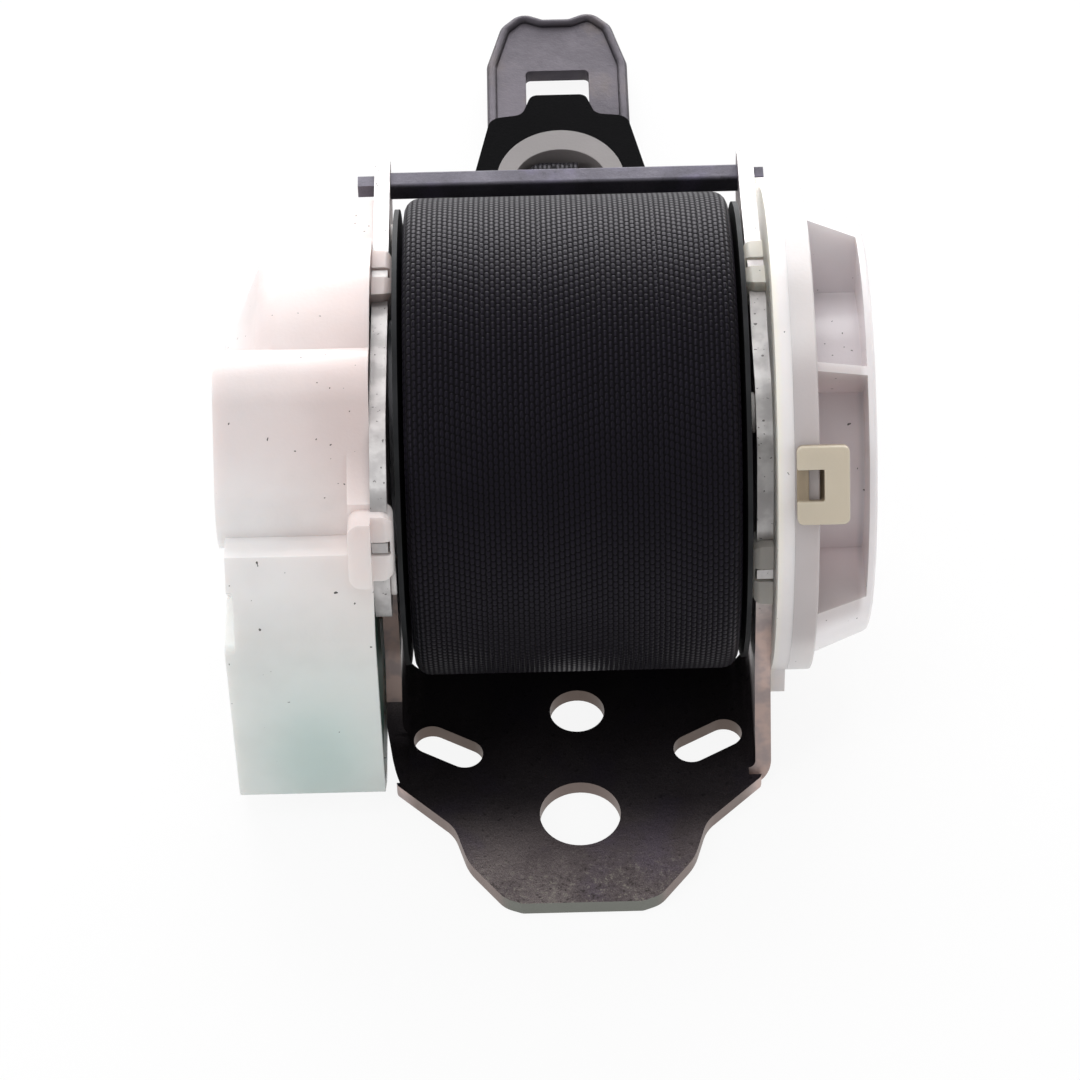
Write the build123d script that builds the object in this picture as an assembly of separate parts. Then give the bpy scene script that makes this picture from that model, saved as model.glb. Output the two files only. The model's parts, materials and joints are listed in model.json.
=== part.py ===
# Vehicle seat belt: emergency-locking retractor with wound webbing and a sewn-on tongue.
# Millimetres. The retractor lies on its back plate, as it does on a bench.
# Origin: centre of the main bolt hole, on the underside of the back plate.
# +X is along the spool axis towards the return spring, +Y from the mounting tab towards
# the tongue, +Z square to the back plate. The webbing leaves over the top, under the tie bar.
import math
import os
from build123d import *

# Steel frame
sheet = 2.3                 # thickness of the stamping
arm_gap = 52.0              # between the inner faces of the two arms
bend_inner = 1.0            # inside radius of the two folds
axis_y = 43.2               # spool axis, from the bolt hole
axis_z = 37.5               # spool axis, above the underside of the back plate
fold_y = 6.7                # where the folds begin, next to the tab
frame_end_y = 80.0          # end of the back plate, away from the tab
arm_top_z = 62.2            # highest point of the left arm
tip_y = 84.2                # furthest point of the arms
tab_end_y = -16.4           # flat end of the mounting tab
tab_end_width = 17.3
bolt_hole_d = 11.8          # for a 7/16 inch belt bolt
tab_hole_d = 8.1
tab_hole_y = 19.8
slot_length = 11.0
slot_width = 5.3
slot_x = 19.2
slot_y = 13.4
slot_turn = 30.0            # degrees, outer end away from the tab
window_front_y = 27.9
window_rear_y = 69.0
window_corner = 5.0
clip_tooth = 1.6            # width of the steel teeth that the snap clips hold
clip_tooth_rise = 1.2       # above the arm's edge

# Tie bar
bar_y = 80.0
bar_z = 54.0
bar_depth = 3.2             # along Y
bar_height = 3.0            # along Z
tenon = 2.2                 # square end that passes through the arm
left_tenon_reach = 2.6      # beyond the outer face of the left arm
right_tenon_reach = 1.6

# Spool and webbing
roll_r = 34.9
webbing_width = 47.0
webbing_thick = 1.2
hub_r = 15.0
flange_r = 33.4
flange_thick = 1.1
spool_half = 24.9           # outer face of each flange, from the mid plane
torsion_bar_r = 4.0
webbing_pin_r = 1.6
webbing_pin_offset = 10.5   # from the spool axis
webbing_slot = 4.0          # height of the slot in the hub
journal_r = 8.0             # spring-side bearing
bush_r = 10.5               # hole in the right arm
bush_flange_r = 13.5
bush_flange = 1.0
roll_crown = 2.4            # rounding of the roll's edges

# Locking head in the left arm
teeth = 24                  # same pitch for frame, lock gear and catch ring
frame_tooth_root_r = 20.0
frame_tooth_tip_r = 17.9
carrier_r = 17.2
carrier_floor = 1.0         # left under the pawl
pawl_thick = 2.4
pawl_pivot_r = 11.0
pawl_pivot_angle = 60.0     # polar angles are from +Y towards +Z, about the spool axis
pawl_head_from = 119.0      # head of the pawl when it is in mesh
pawl_head_to = 143.0
pawl_head_r = 12.5
pawl_arm = 5.0              # width of the pawl between pivot and head
pawl_boss_r = 3.4
pawl_swing = 12.0           # degrees from rest to full mesh
pawl_pin_r = 2.0
cam_pin_r = 1.3
cam_pin_angle = 104.0
gear_lag = 15.0             # degrees the lock gear turns against the spool: one tooth

# Lock gear, inertia lever and catch ring
gear_tip_r = 21.6
gear_root_r = 20.0
gear_thick = 4.0
gear_gap = 0.6              # from the arm's outer face
gear_web = 2.6              # floor of the gear inside its rim
gear_rim_r = 18.0
gear_hub_r = 7.0
inertia_thick = 3.6
inertia_pivot_r = 12.0
inertia_pivot_angle = -60.0
inertia_pin_r = 1.7
inertia_boss_r = 3.3
inertia_band = (12.6, 17.2)
inertia_from = -78.0
inertia_to = 46.0
inertia_swing = 10.0
hook_from = 30.0            # hook of the lever when it is in mesh
hook_to = 37.0
catch_tip_r = 20.6
catch_root_r = 22.2

# Left cover
cover_wall = 1.6
cover_flange = 3.2          # thickness of the flange against the arm
cover_flange_r = 36.3
drum_r = 28.5
drum_shoulder_x = 43.4      # where the drum starts to narrow
drum_nose_r = 15.0
cover_outer_x = 50.0        # outer face, from the mid plane
block_top = 12.2            # front block, along the tangent of its face
block_bottom = 15.6
block_face = 32.6           # distance of the face in front of the spool axis
block_turn = 133.3          # polar direction in which the block faces
block_round = 8.0
sensor_front_y = 2.5
sensor_foot = (8.5, 5.2)    # the lower front edge is cut off between this y and this height
sensor_rear_y = 27.0
sensor_top_z = 37.0
sensor_outer_x = 49.5
neck_outer_x = 48.0         # cover between the block and the sensor box
neck_step_x = 48.9          # upper part of that neck
neck_step_z = 44.6
neck_top_z = 49.0
floor_gap = 0.6             # covers stay this much above the underside of the frame
boss_r = 3.3
end_boss_r = 7.0

# Vehicle sensor
ball_r = 4.6
ball_x = -39.0
ball_y = 12.6
ball_z = 14.4
ball_lift = 1.2
seat_gap = 0.3
case_outer_x = -46.6
case_inner_x = -26.8
case_front_y = 4.6
case_rear_y = 12.4
case_bottom_z = 6.4
case_top_z = 30.0
case_wall_z = 11.4          # front end of the wall beside the arm
ear = 1.5                   # thickness of the two ears that hold the lever
lever_pivot_y = 18.6
lever_pivot_z = 5.6
lever_pin_r = 1.2
lever_thick = 1.6
inner_ear_x = -32.2
lever_top_z = 18.5          # top of the part that rests over the ball
lever_finger_z = 25.0       # top of the finger that carries the tooth
lever_swing = 7.8           # degrees from rest to full mesh
lever_mesh_depth = 0.6      # of the tooth below the gear's tips
lever_mesh_angle = 222.5    # polar direction of the tooth in mesh

# Spring side
base_thick = 2.3
base_r = 38.8
base_hole_r = 14.2
band_x = 34.1               # outer side of the light band next to the base
band_r = 35.4
cup_r = 33.2                # cup next to the band
cup_end_r = 29.8            # cup at its outer end
cup_end_x = 42.6
cup_wall = 1.4
cup_end_round = 1.0
chamber_r = 21.6            # drum round the spring, also the floor of the pocket
pocket_from = 71.0          # recessed pocket round the front of the cup, polar angles
pocket_to = 188.0
pocket_rib_angle = 120.0
pocket_rib = 1.3
pocket_end_x = 41.4         # the pocket stops short of the cup's outer end
pocket_wall_turn = 3.0      # degrees taken by the walls at the pocket's two ends
arbor_r = 6.0
arbor_bore = 3.0
spring_outer_r = 19.6
spring_inner_r = 6.4
spring_strip = 0.4          # thickness of the spring steel
spring_height = 7.0
spring_turns = 7

# Snap clips, latch and pins
clip_length = 10.3          # along the arm's edge
clip_wall = 1.5
clip_leg = 0.75             # thickness of the leg inside the arm
clip_leg_reach = 2.8
clip_root = 3.6             # height of the root that joins the clip to the cover
clip_window = 2.2
clip_round = 1.3
clip_corner = 1.8
pin_shank_r = 1.9
pin_head_r = 2.9
pin_head = 0.8
latch_x = (30.8, 38.1)
latch_height = 11.1
latch_thick = 1.7
latch_hook_height = 7.0
latch_turn = 147.4          # polar direction of the latch
latch_cut = (32.5, 34.6)
latch_notch = 0.8           # depth of the notch from the window to the inner side
latch_cut_height = 4.5

# Tongue
tongue_y = 131.0            # bar of the tongue, inside the sewn loop
tongue_z = 4.4
tongue_width = 24.2
tongue_tip_y = 178.2
tongue_thick = 2.3
tongue_shoulder = 13.2      # half width of the plate beside the eye
latch_window_width = 10.8
latch_window_length = 10.0
latch_window_y = 158.1      # centre of the window
grip_height = 8.4
grip_top_y = 153.2
grip_half = 14.8            # half width of the grip at the bar
liner_half = 10.8
liner_rise = 12.9           # from the bar to the top of the arch
liner_band = 3.1            # width of the liner at its two ends
liner_crown = 5.0           # and at the top of its arch
eye_bar_r = 2.4
eye_bar_depth = 3.2
loop_width = 9.6
loop_x = -1.8               # the sewn end lies towards the left of the eye
loop_tail_y = 119.0
lead_end_width = 13.0
lead_top_half = 22.5        # half width of the gathered lead over the spool axis
lead_bar_half = 15.5        # and just behind the tie bar
lead_from = 46.0            # polar angles over which the lead still lies on the roll
lead_to = 34.0
lead_bend = 16.0

# Clearances
running = 0.05              # radial, shaft in hole
side_gap = 0.4              # between bodies that pass side by side
mesh_gap = 0.35             # between teeth in mesh
wound_gap = 0.3             # soft parts to their neighbours
loop_gap = 0.4              # sewn loop to the liner it swings through

# Derived values
arm_in = arm_gap / 2
arm_out = arm_in + sheet
pitch = 360 / teeth
carrier_x = -(arm_out + side_gap / 2)
pawl_in_x = -(spool_half + carrier_floor + side_gap / 4)
pawl_out_x = pawl_in_x - pawl_thick
gear_in_x = -(arm_out + gear_gap)
gear_out_x = gear_in_x - gear_thick
inertia_in_x = gear_out_x - side_gap
inertia_out_x = inertia_in_x - inertia_thick
cover_flange_x = -(arm_out + cover_flange)
cover_inner_x = -(cover_outer_x - cover_wall)
base_x = arm_out + base_thick
tongue_half = tongue_width / 2
loop_inner_r = eye_bar_r + wound_gap
loop_outer_r = loop_inner_r + webbing_thick
spool_axis = Axis((0, axis_y, axis_z), (1, 0, 0))


def side(x):
    """Plane square to the spool axis at x, in the frame's own Y and Z."""
    return Plane(origin=(x, 0, 0), x_dir=(0, 1, 0), z_dir=(1, 0, 0))


def hub(x):
    """Plane square to the spool axis at x, centred on that axis."""
    return Plane(origin=(x, axis_y, axis_z), x_dir=(0, 1, 0), z_dir=(1, 0, 0))


def prism(sketch, plane, x0, x1):
    """Solid of a sketch from x0 to x1, on the side or the hub plane."""
    return extrude(plane(min(x0, x1)) * sketch, amount=abs(x1 - x0))


def outline(points, radii=0.0):
    """Closed face through the points, each corner rounded to its own radius."""
    return make_face(FilletPolyline(*points, radius=radii, close=True))


def polar(r, angle):
    return (r * math.cos(math.radians(angle)), r * math.sin(math.radians(angle)))


def turned_about(point, angle, centre=(0, 0)):
    """The point after a turn about centre, in a hub plane."""
    x, y = point[0] - centre[0], point[1] - centre[1]
    c, s = math.cos(math.radians(angle)), math.sin(math.radians(angle))
    return (centre[0] + x * c - y * s, centre[1] + x * s + y * c)


def swung(sketch, angle, centre):
    """A sketch turned about a pivot, in a hub plane."""
    return Pos(*centre) * Rot(0, 0, angle) * Pos(-centre[0], -centre[1]) * sketch


def sector(r0, r1, from_angle, to_angle):
    """Part of a ring between two polar angles."""
    span = to_angle - from_angle
    outer = CenterArc((0, 0), r1, from_angle, span)
    inner = CenterArc((0, 0), r0, from_angle, span)
    return make_face([outer, inner, Line(outer @ 0, inner @ 0), Line(outer @ 1, inner @ 1)])


def turned(points, radii=0.0):
    """Solid turned about the spool axis from (x, radius) points."""
    plane = Plane(origin=(0, axis_y, axis_z), x_dir=(1, 0, 0), z_dir=(0, -1, 0))
    return revolve(plane * outline(points, radii), axis=spool_axis)


def cylinder_x(r, x0, x1, y=axis_y, z=axis_z):
    return prism(Pos(y, z) * Circle(r), side, x0, x1)


def box_between(x0, x1, y0, y1, z0, z1):
    centre = ((x0 + x1) / 2, (y0 + y1) / 2, (z0 + z1) / 2)
    return Pos(*centre) * Box(abs(x1 - x0), abs(y1 - y0), abs(z1 - z0))


def sawtooth(first_r, last_r):
    """Face bounded by ratchet teeth whose radius runs from first to last with the angle."""
    points = []
    for k in range(teeth):
        points.append(polar(first_r, k * pitch))
        points.append(polar(last_r, (k + 1) * pitch))
    return make_face(Polyline(*points, close=True))


# Places on the arms, (y, z): pins, and snap clips with the direction of the edge they wrap
left_pins = [(12.4, 41.2), (70.0, 51.5), (68.0, 20.0)]
right_pins = [(30.5, 53.6), (23.8, 29.2), (66.0, 22.0)]
left_clips = [(54.0, 59.05, -5.1), (9.7, 50.4, 74.7)]
right_clips = [(53.0, 60.26, -7.3), (18.1, 34.2, 80.0)]


def left_arm_face():
    points = [(fold_y, 0), (15.5, 1.8), (24.4, 7.5), (24.4, 35.6), (8.4, 35.6), (7.2, 41),
              (11.3, 56.4), (22.5, arm_top_z), (48, 59.6), (76, 57.1), (tip_y, 57.1),
              (tip_y, 50.2), (77.5, 42), (frame_end_y, 0)]
    radii = [0, 8, 9, 6, 3, 5, 6, 8, 12, 6, 3, 3, 10, 0]
    return outline(points, radii)


def right_arm_face():
    points = [(fold_y, 0), (14.6, 13.8), (17.1, 27.9), (20, 44.4), (23.8, 53.4), (31.5, 58.2),
              (42, 58.8), (48, 60.9), (76, 57.3), (tip_y, 57.3), (tip_y, 50.2), (77.5, 42),
              (frame_end_y, 0)]
    radii = [0, 9, 12, 14, 6, 6, 4, 6, 6, 3, 3, 10, 0]
    return outline(points, radii)


left_arm_edge = [(9.2, 36), (8.0, 41), (12.0, 56), (22.7, 61.4), (48, 59.0), (76, 56.6)]
right_arm_edge = [(17.8, 28), (20.6, 44.2), (24.4, 52.9), (31.8, 57.5), (42.2, 58.2), (48.2, 60.3),
                  (76, 56.7)]


def behind_edge(edge, front_y):
    """All that lies behind an arm's front and upper edge, down to the floor gap."""
    far = 2 * tip_y
    points = [(front_y, floor_gap), *edge, (far, edge[-1][1]), (far, floor_gap)]
    return outline(points)


def plate_face():
    half = [(arm_out, fold_y), (18.4, -1.8), (16.4, -8.6), (11.2, -15.4), (tab_end_width / 2, tab_end_y)]
    mirrored = [(-x, y) for x, y in reversed(half)]
    points = half + mirrored + [(-arm_out, frame_end_y), (arm_out, frame_end_y)]
    return outline(points, [2, 6, 9, 4, 1.5, 1.5, 4, 9, 6, 2, 0, 0])


def plate_cuts():
    """Window, holes and slots of the back plate."""
    length = window_rear_y - window_front_y
    window = RectangleRounded(2 * arm_in - bend_inner, length, window_corner)
    cuts = Pos(0, window_front_y + length / 2) * window
    cuts += [Circle(bolt_hole_d / 2), Pos(0, tab_hole_y) * Circle(tab_hole_d / 2)]
    for sign in (-1, 1):
        slot = SlotOverall(slot_length, slot_width, rotation=sign * slot_turn)
        cuts += Pos(sign * slot_x, slot_y) * slot
    return cuts


def u_channel():
    """Folded sheet, before its outlines are cut."""
    tall = 2 * arm_top_z
    outer = Pos(0, tall / 2) * Rectangle(2 * arm_out, tall)
    outer = fillet(outer.vertices().sort_by(Axis.Y)[:2], bend_inner + sheet)
    inner = Pos(0, sheet + tall / 2) * Rectangle(arm_gap, tall)
    inner = fillet(inner.vertices().sort_by(Axis.Y)[:2], bend_inner)
    start = Plane(origin=(0, tab_end_y, 0), x_dir=(1, 0, 0), z_dir=(0, -1, 0))
    return extrude(start * (outer - inner), amount=tab_end_y - tip_y)


def at_edge(x, y, z, angle):
    """Plane at an arm's edge: X stays X, local Y is square to the edge and outwards."""
    along = (0, math.cos(math.radians(angle)), math.sin(math.radians(angle)))
    return Plane(origin=(x, y, z), x_dir=(1, 0, 0), z_dir=(0, -along[1], -along[2]))


def over_edge(y, z, angle):
    """Plane that lies on an arm's edge: X stays X, local Y runs along the edge."""
    out = (0, -math.sin(math.radians(angle)), math.cos(math.radians(angle)))
    return Plane(origin=(0, y, z), x_dir=(1, 0, 0), z_dir=out)


def clip_teeth(places, x0):
    """Small steel teeth on an arm's edge, one in the window of each snap clip."""
    tooth = Rectangle(sheet, 2 * clip_tooth_rise)
    return [extrude(at_edge(x0 + sheet / 2, *place) * tooth, amount=clip_tooth / 2, both=True)
            for place in places]


def make_frame():
    channel = u_channel()
    fold = bend_inner + sheet
    flat_x = arm_out - fold
    plate = extrude(plate_face(), amount=sheet)
    for sign in (-1, 1):
        plate -= box_between(sign * flat_x, sign * (arm_out + 1), fold_y, tip_y, -1, sheet + 1)
    arms = [channel & prism(left_arm_face(), side, -arm_out, -flat_x),
            channel & prism(right_arm_face(), side, flat_x, arm_out)]
    frame = plate + arms + clip_teeth(left_clips, -arm_out) + clip_teeth(right_clips, arm_in)
    frame -= extrude(Pos(0, 0, -1) * plate_cuts(), amount=sheet + 2)
    frame -= prism(sawtooth(frame_tooth_root_r, frame_tooth_tip_r), hub, -arm_out - 1, -arm_in + 1)
    frame -= cylinder_x(bush_r, arm_in - 1, arm_out + 1)
    for places, x0 in ((left_pins, -arm_out), (right_pins, arm_in)):
        frame -= [cylinder_x(pin_shank_r, x0 - 1, x0 + sheet + 1, y, z) for y, z in places]
    half = tenon / 2
    for x0 in (-arm_out - 1, arm_in - 1):
        frame -= box_between(x0, x0 + sheet + 2, bar_y - half, bar_y + half, bar_z - half, bar_z + half)
    return frame


def make_tie_bar():
    bar = prism(Pos(bar_y, bar_z) * RectangleRounded(bar_depth, bar_height, 0.5), side, -arm_in, arm_in)
    square = Pos(bar_y, bar_z) * Rectangle(tenon, tenon)
    return bar + prism(square, side, -arm_out - left_tenon_reach, arm_out + right_tenon_reach)


# Spool, its shaft and the webbing on it

def make_spool():
    """Cast hub with two flanges, a slot for the webbing and the spring-side journal."""
    flange_in = spool_half - flange_thick
    hub_form = turned([(-spool_half, 0), (-spool_half, flange_r), (-flange_in - 0.4, flange_r),
                       (-flange_in, hub_r), (flange_in, hub_r), (flange_in + 0.4, flange_r),
                       (spool_half, flange_r), (spool_half, journal_r),
                       (arm_out + bush_flange, journal_r), (arm_out + bush_flange, 0)])
    hub_form -= cylinder_x(torsion_bar_r + running, -spool_half - 1, arm_out + bush_flange + 1)
    half_web = webbing_width / 2
    slot = box_between(-half_web, half_web, axis_y, axis_y + 2 * hub_r,
                       axis_z + webbing_pin_offset - webbing_slot / 2,
                       axis_z + webbing_pin_offset + webbing_slot / 2)
    pocket = prism(Pos(0, webbing_pin_offset) * Circle(webbing_slot * 0.6), hub, -half_web, half_web)
    return hub_form - slot - pocket


def make_torsion_bar():
    """Steel bar through the hub, with a collar at each end of its twisting length."""
    left_end = cover_inner_x + 3 * side_gap
    bar = cylinder_x(torsion_bar_r, left_end, gear_in_x + gear_gap)
    bar += cylinder_x(torsion_bar_r - 0.8, gear_in_x, spool_half)
    bar += cylinder_x(torsion_bar_r, -spool_half, -spool_half + 8)
    bar += cylinder_x(torsion_bar_r, spool_half - 8, arm_out + bush_flange)
    square = RectangleRounded(2 * arbor_bore - running, 2 * arbor_bore - running, 0.6)
    return bar + prism(square, hub, arm_out, base_x + spring_height)


def make_webbing_pin():
    half_web = webbing_width / 2
    return cylinder_x(webbing_pin_r, -half_web, half_web, axis_y, axis_z + webbing_pin_offset)


def make_webbing_roll():
    half_web = webbing_width / 2
    ring = [(-half_web, hub_r + running), (-half_web, roll_r), (half_web, roll_r),
            (half_web, hub_r + running)]
    return turned(ring, [0, roll_crown, roll_crown, 0])


# Locking head: carrier and pawl inside the toothed hole of the left arm

pawl_pivot = polar(pawl_pivot_r, pawl_pivot_angle)


def pawl_face(swing):
    """Pawl in a hub plane, swung out of its pocket by the given angle."""
    void = offset(sawtooth(frame_tooth_root_r, frame_tooth_tip_r), amount=-mesh_gap)
    head = sector(pawl_head_r, frame_tooth_root_r, pawl_head_from, pawl_head_to) & void
    middle = polar(pawl_head_r + 1.4, (pawl_head_from + pawl_head_to) / 2)
    centre = ((pawl_pivot[0] + middle[0]) / 2, (pawl_pivot[1] + middle[1]) / 2)
    span = math.dist(pawl_pivot, middle)
    turn = math.degrees(math.atan2(middle[1] - pawl_pivot[1], middle[0] - pawl_pivot[0]))
    arm = Pos(*centre) * SlotCenterToCenter(span, pawl_arm, rotation=turn)
    pawl = head + arm + Pos(*pawl_pivot) * Circle(pawl_boss_r)
    pawl += Pos(*cam_pin_place(pawl_swing)) * Circle(cam_pin_r + wound_gap)
    return swung(pawl, pawl_swing - swing, pawl_pivot)


def cam_pin_place(swing):
    """Centre of the pawl's cam pin after a swing, in a hub plane."""
    rest = polar(pawl_head_r - 0.3, cam_pin_angle)
    return turned_about(rest, -swing, pawl_pivot)


def make_pawl_carrier():
    """Locking head of the spool, with a pocket in which the pawl swings."""
    carrier = cylinder_x(carrier_r, carrier_x, -spool_half)
    for step in range(4):
        room = offset(pawl_face(pawl_swing * step / 3), amount=mesh_gap)
        carrier -= prism(room, hub, carrier_x - 1, pawl_in_x)
    carrier += prism(Pos(*pawl_pivot) * Circle(pawl_pin_r), hub, carrier_x, -spool_half)
    return carrier - cylinder_x(torsion_bar_r + running, carrier_x - 1, -spool_half + 1)


def make_lock_pawl():
    pawl = prism(pawl_face(0), hub, pawl_in_x - side_gap / 4, pawl_out_x)
    pawl -= prism(Pos(*pawl_pivot) * Circle(pawl_pin_r + running), hub, pawl_in_x, pawl_out_x)
    pin = Pos(*cam_pin_place(0)) * Circle(cam_pin_r)
    return pawl + prism(pin, hub, pawl_out_x, gear_in_x - gear_web)


# Lock gear with its inertia lever, and the ring that catches the lever

inertia_pivot = polar(inertia_pivot_r, inertia_pivot_angle)


def cam_slot():
    """Slot that the cam pin follows while the gear turns against the carrier."""
    start = cam_pin_place(0)
    end = turned_about(cam_pin_place(pawl_swing), -gear_lag)
    middle = ((start[0] + end[0]) / 2, (start[1] + end[1]) / 2)
    turn = math.degrees(math.atan2(end[1] - start[1], end[0] - start[0]))
    slot = SlotCenterToCenter(math.dist(start, end), 2 * (cam_pin_r + mesh_gap), rotation=turn)
    return Pos(*middle) * slot


def make_lock_gear():
    """Ratchet wheel with a recessed web; its steep tooth faces look against extraction."""
    gear = prism(sawtooth(gear_tip_r, gear_root_r), hub, gear_out_x, gear_in_x)
    recess = Circle(gear_rim_r) - Circle(gear_hub_r)
    gear -= prism(recess, hub, gear_out_x - 1, gear_in_x - gear_web)
    gear += prism(Pos(*inertia_pivot) * Circle(inertia_pin_r + 1), hub, gear_out_x, gear_in_x)
    gear += prism(Pos(*inertia_pivot) * Circle(inertia_pin_r), hub, inertia_out_x, gear_out_x)
    gear -= prism(cam_slot(), hub, gear_out_x - 1, gear_in_x + 1)
    return gear - cylinder_x(torsion_bar_r + running, gear_out_x - 1, gear_in_x + 1)


def inertia_face(swing):
    """Inertia lever in a hub plane: a heavy curved band, a boss and the hook at its end."""
    void = offset(sawtooth(catch_root_r, catch_tip_r), amount=-mesh_gap)
    hook = sector(inertia_band[1] - 2, catch_root_r, hook_from, hook_to) & void
    band = sector(*inertia_band, inertia_from, inertia_to)
    band += Pos(*inertia_pivot) * Circle(inertia_boss_r)
    lever = band + swung(hook, inertia_swing, inertia_pivot)
    return swung(lever, -swing, inertia_pivot)


def make_inertia_lever():
    lever = prism(inertia_face(0), hub, inertia_out_x, inertia_in_x)
    bore = Pos(*inertia_pivot) * Circle(inertia_pin_r + running)
    return lever - prism(bore, hub, inertia_out_x - 1, inertia_in_x + 1)


def make_catch_ring():
    """Ring of inner ratchet teeth that sits in the drum of the cover."""
    ring = Circle(drum_r - cover_wall - running) - sawtooth(catch_root_r, catch_tip_r)
    return prism(ring, hub, inertia_out_x, gear_out_x - side_gap / 2)


# Left cover with its drum, front block and sensor box

def drum_form(inset):
    """Drum of the left cover, or its hollow when it has an inset."""
    end = cover_outer_x - inset
    slope = [(-drum_shoulder_x + inset, drum_r - inset), (-end, drum_nose_r - inset)]
    points = [(-arm_out, 0), (-arm_out, drum_r - inset), *slope, (-end, 0)]
    return turned(points, [0, 0, 5, 5, 0])


def block_form(inset):
    """Front block: square to the direction it faces, with two rounded edges."""
    face, top, bottom = block_face - inset, block_top - inset, block_bottom - inset
    points = [(0, -top), (face, -top), (face, bottom), (0, bottom)]
    shape = Rot(0, 0, block_turn) * outline(points, [0, block_round - inset, block_round - inset, 0])
    return prism(shape, hub, -arm_out, -cover_outer_x + inset)


def shell_part(points, radii, outer_x, inset):
    """Part of the left cover over an outline, or its hollow when it has an inset."""
    return prism(offset(outline(points, radii), amount=-inset), side, -arm_out, -outer_x + inset)


def sensor_form(inset):
    """Sensor box, and the stepped neck between it and the front block."""
    front, rear, top = sensor_front_y, sensor_rear_y, sensor_top_z
    form = shell_part([(front, sensor_foot[1]), (front, top), (rear + 3, top), (rear, floor_gap),
                       (sensor_foot[0], floor_gap)], [1.5, 1.2, 0, 4, 1.5], sensor_outer_x, inset)
    form += shell_part([(front, top - 8), (front, top + 1), (6.4, neck_step_z), (24, neck_step_z + 2),
                        (rear, top - 8)], 0, neck_outer_x, inset)
    return form + shell_part([(10, neck_step_z - 5), (6.4, neck_step_z), (9, neck_top_z),
                              (24, neck_top_z), (24, neck_step_z - 5)], 0, neck_step_x, inset)


def lock_cover_form(inset):
    return drum_form(inset) + block_form(inset) + sensor_form(inset)


def make_clip(place, sign, arm_face, depth):
    """Snap clip that wraps an arm's edge. Sign is +1 on the right arm, -1 on the left."""
    outer, inner = sign * (arm_out + depth), sign * (arm_in - clip_leg)
    low = -clip_leg_reach
    points = [(outer, low), (outer, clip_wall), (inner, clip_wall), (inner, low)]
    clip = extrude(at_edge(0, *place) * outline(points, [0, 0.8, clip_round, 0.3]),
                   amount=clip_length / 2, both=True)
    root = Pos(sign * (arm_out + depth / 2), (clip_root + low) / 2) * Rectangle(depth, clip_root - low)
    clip += extrude(at_edge(0, *place) * root, amount=clip_length / 2, both=True)
    window = at_edge(sign * (arm_in + sheet / 2), *place) * Rectangle(sheet + 0.6, 4 * clip_wall)
    clip -= extrude(window, amount=clip_window / 2, both=True)
    width = abs(outer - inner)
    front = Pos((outer + inner) / 2, 0) * RectangleRounded(width, clip_length, clip_corner)
    clip &= extrude(over_edge(*place) * front, amount=2 * clip_root, both=True)
    return clip - prism(offset(arm_face, amount=running), side, sign * arm_in, sign * arm_out)


def pin_holes(places, x0, x1):
    return [cylinder_x(pin_shank_r, x0, x1, y, z) for y, z in places]


def make_lock_cover():
    flange = cylinder_x(cover_flange_r, cover_flange_x, -arm_out)
    flange &= prism(behind_edge(left_arm_edge, 9.2), side, cover_flange_x, -arm_out)
    outer = lock_cover_form(0) + flange
    cover = outer - lock_cover_form(cover_wall)
    inside = left_pins[0]
    cover += cylinder_x(boss_r, cover_inner_x + 2, -arm_out, *inside)
    cover += cylinder_x(end_boss_r, cover_inner_x - 0.5, inertia_out_x - side_gap)
    cover -= cylinder_x(torsion_bar_r + running, cover_inner_x + side_gap, -arm_out)
    cover -= pin_holes(left_pins, cover_flange_x - 1, -arm_out + 1)
    clips = [make_clip(place, -1, left_arm_face(), cover_flange) for place in left_clips]
    room = cylinder_x(gear_tip_r + side_gap, gear_out_x - side_gap, -arm_out)
    return cover + [clip - room for clip in clips]


def make_pins(places, sign, depth):
    """Push pins: a head inside the arm and a shank through the arm into the moulding."""
    x_head = sign * (arm_in - pin_head)
    pins = [cylinder_x(pin_head_r, x_head, sign * arm_in, y, z) for y, z in places]
    shanks = [cylinder_x(pin_shank_r, sign * arm_in, sign * (arm_out + depth), y, z) for y, z in places]
    return Compound([solid for pin, shank in zip(pins, shanks) for solid in (pin + shank).solids()])


# Vehicle sensor

def make_sensor_case():
    """Case with the cup of the ball, two ears for the lever and the wall beside the neck."""
    block = box_between(case_outer_x, case_inner_x, case_front_y, case_rear_y, case_bottom_z, case_top_z)
    wall = outline([(case_front_y, case_wall_z), (14, 6), (21.6, 9), (21.6, 34.6), (case_front_y, 34.6)],
                   [1, 3, 3, 2, 1])
    case = block + prism(wall, side, case_inner_x - ear, case_inner_x)
    mouth = Plane(origin=(ball_x, ball_y, ball_z), x_dir=(1, 0, 0), z_dir=(0, 1, 0))
    case -= extrude(mouth * Circle(ball_r + seat_gap), amount=ball_r)
    case -= Pos(ball_x, ball_y, ball_z) * Sphere(ball_r + seat_gap)
    ear_face = outline([(case_rear_y - 1, 2.8), (case_rear_y - 1, 9), (lever_pivot_y + 1, 8),
                        (lever_pivot_y + 2.2, 3.4)], [0, 0, 2, 2])
    for x0 in (case_outer_x, inner_ear_x):
        case += prism(ear_face, side, x0, x0 + ear)
    return case - cylinder_x(lever_pin_r + running, case_outer_x - 1, inner_ear_x + ear, *lever_pivot)


def make_sensor_ball():
    return Pos(ball_x, ball_y, ball_z) * Sphere(ball_r)


lever_low_y = ball_y + ball_r + wound_gap
lever_pivot = (lever_pivot_y, lever_pivot_z)
mesh_tip = polar(gear_tip_r - lever_mesh_depth, lever_mesh_angle)
lever_tip = turned_about((axis_y + mesh_tip[0], axis_z + mesh_tip[1]), lever_swing, lever_pivot)


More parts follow.
